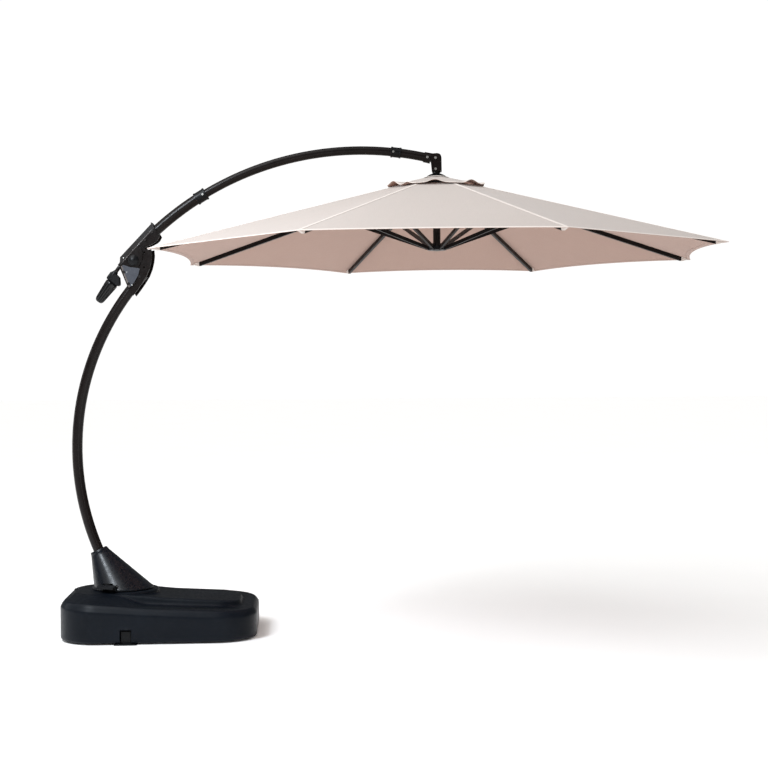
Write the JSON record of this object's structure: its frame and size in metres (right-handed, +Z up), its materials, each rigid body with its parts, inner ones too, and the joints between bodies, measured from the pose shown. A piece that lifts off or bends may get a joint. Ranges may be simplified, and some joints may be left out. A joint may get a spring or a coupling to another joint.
{
  "type": "cantilever parasol",
  "caption": "Freestanding cantilever parasol: curved mast and arm over a water-filled base, with an octagonal vented fabric canopy that folds by crank.",
  "frame": {"origin": "on the floor, on the swivel axis of the mast, at the underside of the cross frame", "axes": "+Z up, +X from the mast towards the canopy, +Y away from the viewer"},
  "size_m": [3.3457, 2.7716, 2.5139],
  "materials": {
    "bronze_steel": "satin dark bronze powder coat",
    "black_steel": "satin black powder coat",
    "bronze_aluminium": "dark bronze powder coat",
    "zinc_steel": "zinc plated",
    "pulley_metal": "bare cast aluminium",
    "black_plastic": "fine grained black",
    "tank_plastic": "grained blow-moulded black",
    "water": "clear",
    "cloth": "woven beige polyester"
  },
  "bodies": {
    "base": {"cross_frame": "black_steel", "base_tank": "tank_plastic", "water_ballast": "water", "filler_cap": "black_plastic", "drain_plug": "black_plastic", "swivel_flange": "black_steel", "flange_bolts": "zinc_steel", "brake_ring": "black_steel"},
    "mast": {"mast_foot": "bronze_steel", "swivel_cone": "black_plastic", "mast_tube": "bronze_steel", "head_plate_left": "bronze_steel", "head_plate_right": "bronze_steel", "head_bolts": "zinc_steel", "pivot_bolt": "zinc_steel", "pivot_caps": "black_plastic", "pedal_pin": "zinc_steel"},
    "pedal": {"lock_pedal": "black_plastic"},
    "arm": {"arm_bracket": "bronze_steel", "arm_outer_tube": "bronze_steel", "lower_sleeve": "black_plastic", "arm_inner_tube": "bronze_steel", "upper_sleeve": "black_plastic", "arm_end_tube": "bronze_steel", "arm_bolts": "zinc_steel", "hanger_socket": "bronze_steel", "hanger_link": "bronze_steel", "hub_neck": "bronze_steel", "top_dome": "black_plastic", "upper_hub": "black_plastic", "hub_pins": "zinc_steel", "canopy_fabric": "cloth", "vent_cap": "cloth"},
    "crank": {"crank_shaft": "zinc_steel", "cord_spool": "pulley_metal", "crank_arm": "black_plastic"},
    "grip": {"crank_grip": "black_plastic"},
    "elbow_wheel": {"elbow_pulley": "pulley_metal"},
    "hanger_wheel": {"hanger_pulley": "pulley_metal"},
    "runner": {"runner_hub": "black_plastic", "runner_pins": "zinc_steel", "centre_post": "bronze_aluminium"},
    "rib_1": {"rib_1": "bronze_aluminium"},
    "strut_1": {"strut_1": "bronze_aluminium"},
    "rib_2": {"rib_2": "bronze_aluminium"},
    "strut_2": {"strut_2": "bronze_aluminium"},
    "rib_3": {"rib_3": "bronze_aluminium"},
    "strut_3": {"strut_3": "bronze_aluminium"},
    "rib_4": {"rib_4": "bronze_aluminium"},
    "strut_4": {"strut_4": "bronze_aluminium"},
    "rib_5": {"rib_5": "bronze_aluminium"},
    "strut_5": {"strut_5": "bronze_aluminium"},
    "rib_6": {"rib_6": "bronze_aluminium"},
    "strut_6": {"strut_6": "bronze_aluminium"},
    "rib_7": {"rib_7": "bronze_aluminium"},
    "strut_7": {"strut_7": "bronze_aluminium"},
    "rib_8": {"rib_8": "bronze_aluminium"},
    "strut_8": {"strut_8": "bronze_aluminium"}
  },
  "joints": [
    {"name": "mast_swivel", "type": "hinge", "parent": "base", "child": "mast", "pos_m": [0, 0, 0.1], "axis": [0, 0, 1], "continuous": true},
    {"name": "pedal_press", "type": "hinge", "parent": "mast", "child": "pedal", "pos_m": [-0.04246, -0.1355, 0.254], "axis": [0.9542, -0.299, 0], "range_deg": [0, 8], "stiffness_Nm_per_rad": 10, "springref_deg": -8.59},
    {"name": "arm_tilt", "type": "hinge", "parent": "mast", "child": "arm", "pos_m": [0.07, 0, 1.935], "axis": [0, -1, 0], "range_deg": [-20, 8]},
    {"name": "canopy_fold", "type": "hinge", "parent": "arm", "child": "rib_1", "pos_m": [1.68273, 0.01646, 2.3286], "axis": [-0.3827, 0.9239, 0], "range_deg": [0, 68], "deforming": ["canopy_fabric", "vent_cap"]},
    {"name": "rib_2_fold", "type": "hinge", "parent": "arm", "child": "rib_2", "pos_m": [1.65945, 0.03973, 2.3286], "axis": [-0.9239, 0.3827, 0], "range_deg": [-2, 70]},
    {"name": "rib_3_fold", "type": "hinge", "parent": "arm", "child": "rib_3", "pos_m": [1.62654, 0.03973, 2.3286], "axis": [-0.9239, -0.3827, 0], "range_deg": [-2, 70]},
    {"name": "rib_4_fold", "type": "hinge", "parent": "arm", "child": "rib_4", "pos_m": [1.60327, 0.01646, 2.3286], "axis": [-0.3827, -0.9239, 0], "range_deg": [-2, 70]},
    {"name": "rib_5_fold", "type": "hinge", "parent": "arm", "child": "rib_5", "pos_m": [1.60327, -0.01646, 2.3286], "axis": [0.3827, -0.9239, 0], "range_deg": [-2, 70]},
    {"name": "rib_6_fold", "type": "hinge", "parent": "arm", "child": "rib_6", "pos_m": [1.62654, -0.03973, 2.3286], "axis": [0.9239, -0.3827, 0], "range_deg": [-2, 70]},
    {"name": "rib_7_fold", "type": "hinge", "parent": "arm", "child": "rib_7", "pos_m": [1.65945, -0.03973, 2.3286], "axis": [0.9239, 0.3827, 0], "range_deg": [-2, 70]},
    {"name": "rib_8_fold", "type": "hinge", "parent": "arm", "child": "rib_8", "pos_m": [1.68273, -0.01646, 2.3286], "axis": [0.3827, 0.9239, 0], "range_deg": [-2, 70]},
    {"name": "strut_1_fold", "type": "hinge", "parent": "rib_1", "child": "strut_1", "pos_m": [2.14543, 0.20811, 2.15517], "axis": [-0.3827, 0.9239, 0], "range_deg": [-140, 2]},
    {"name": "strut_2_fold", "type": "hinge", "parent": "rib_2", "child": "strut_2", "pos_m": [1.85111, 0.50243, 2.15517], "axis": [-0.9239, 0.3827, 0], "range_deg": [-140, 2]},
    {"name": "strut_3_fold", "type": "hinge", "parent": "rib_3", "child": "strut_3", "pos_m": [1.43489, 0.50243, 2.15517], "axis": [-0.9239, -0.3827, 0], "range_deg": [-140, 2]},
    {"name": "strut_4_fold", "type": "hinge", "parent": "rib_4", "child": "strut_4", "pos_m": [1.14057, 0.20811, 2.15517], "axis": [-0.3827, -0.9239, 0], "range_deg": [-140, 2]},
    {"name": "strut_5_fold", "type": "hinge", "parent": "rib_5", "child": "strut_5", "pos_m": [1.14057, -0.20811, 2.15517], "axis": [0.3827, -0.9239, 0], "range_deg": [-140, 2]},
    {"name": "strut_6_fold", "type": "hinge", "parent": "rib_6", "child": "strut_6", "pos_m": [1.43489, -0.50243, 2.15517], "axis": [0.9239, -0.3827, 0], "range_deg": [-140, 2]},
    {"name": "strut_7_fold", "type": "hinge", "parent": "rib_7", "child": "strut_7", "pos_m": [1.85111, -0.50243, 2.15517], "axis": [0.9239, 0.3827, 0], "range_deg": [-140, 2]},
    {"name": "strut_8_fold", "type": "hinge", "parent": "rib_8", "child": "strut_8", "pos_m": [2.14543, -0.20811, 2.15517], "axis": [0.3827, 0.9239, 0], "range_deg": [-140, 2]},
    {"name": "runner_level", "type": "hinge", "parent": "strut_1", "child": "runner", "pos_m": [1.68273, 0.01646, 1.98175], "axis": [-0.3827, 0.9239, 0], "range_deg": [-2, 70]},
    {"name": "crank_spin", "type": "hinge", "parent": "arm", "child": "crank", "pos_m": [-0.0136, 0, 1.9019], "axis": [-0.606, 0, -0.7955], "continuous": true},
    {"name": "grip_spin", "type": "hinge", "parent": "crank", "child": "grip", "pos_m": [-0.05908, 0, 1.81084], "axis": [-0.606, 0, -0.7955], "continuous": true},
    {"name": "elbow_pulley_spin", "type": "hinge", "parent": "arm", "child": "elbow_wheel", "pos_m": [0.07, 0, 1.935], "axis": [0, 1, 0], "continuous": true},
    {"name": "hanger_pulley_spin", "type": "hinge", "parent": "arm", "child": "hanger_wheel", "pos_m": [1.64, 0, 2.446], "axis": [0, 1, 0], "continuous": true}
  ],
  "couplings": [
    {"joint": "rib_2_fold", "follows": "canopy_fold", "ratio": 1},
    {"joint": "rib_3_fold", "follows": "canopy_fold", "ratio": 1},
    {"joint": "rib_4_fold", "follows": "canopy_fold", "ratio": 1},
    {"joint": "rib_5_fold", "follows": "canopy_fold", "ratio": 1},
    {"joint": "rib_6_fold", "follows": "canopy_fold", "ratio": 1},
    {"joint": "rib_7_fold", "follows": "canopy_fold", "ratio": 1},
    {"joint": "rib_8_fold", "follows": "canopy_fold", "ratio": 1},
    {"joint": "strut_1_fold", "follows": "canopy_fold", "ratio": -2},
    {"joint": "strut_2_fold", "follows": "canopy_fold", "ratio": -2},
    {"joint": "strut_3_fold", "follows": "canopy_fold", "ratio": -2},
    {"joint": "strut_4_fold", "follows": "canopy_fold", "ratio": -2},
    {"joint": "strut_5_fold", "follows": "canopy_fold", "ratio": -2},
    {"joint": "strut_6_fold", "follows": "canopy_fold", "ratio": -2},
    {"joint": "strut_7_fold", "follows": "canopy_fold", "ratio": -2},
    {"joint": "strut_8_fold", "follows": "canopy_fold", "ratio": -2},
    {"joint": "runner_level", "follows": "canopy_fold", "ratio": 1},
    {"joint": "crank_spin", "follows": "canopy_fold", "ratio": 50},
    {"joint": "elbow_pulley_spin", "follows": "canopy_fold", "ratio": 40},
    {"joint": "hanger_pulley_spin", "follows": "canopy_fold", "ratio": 54.5}
  ]
}
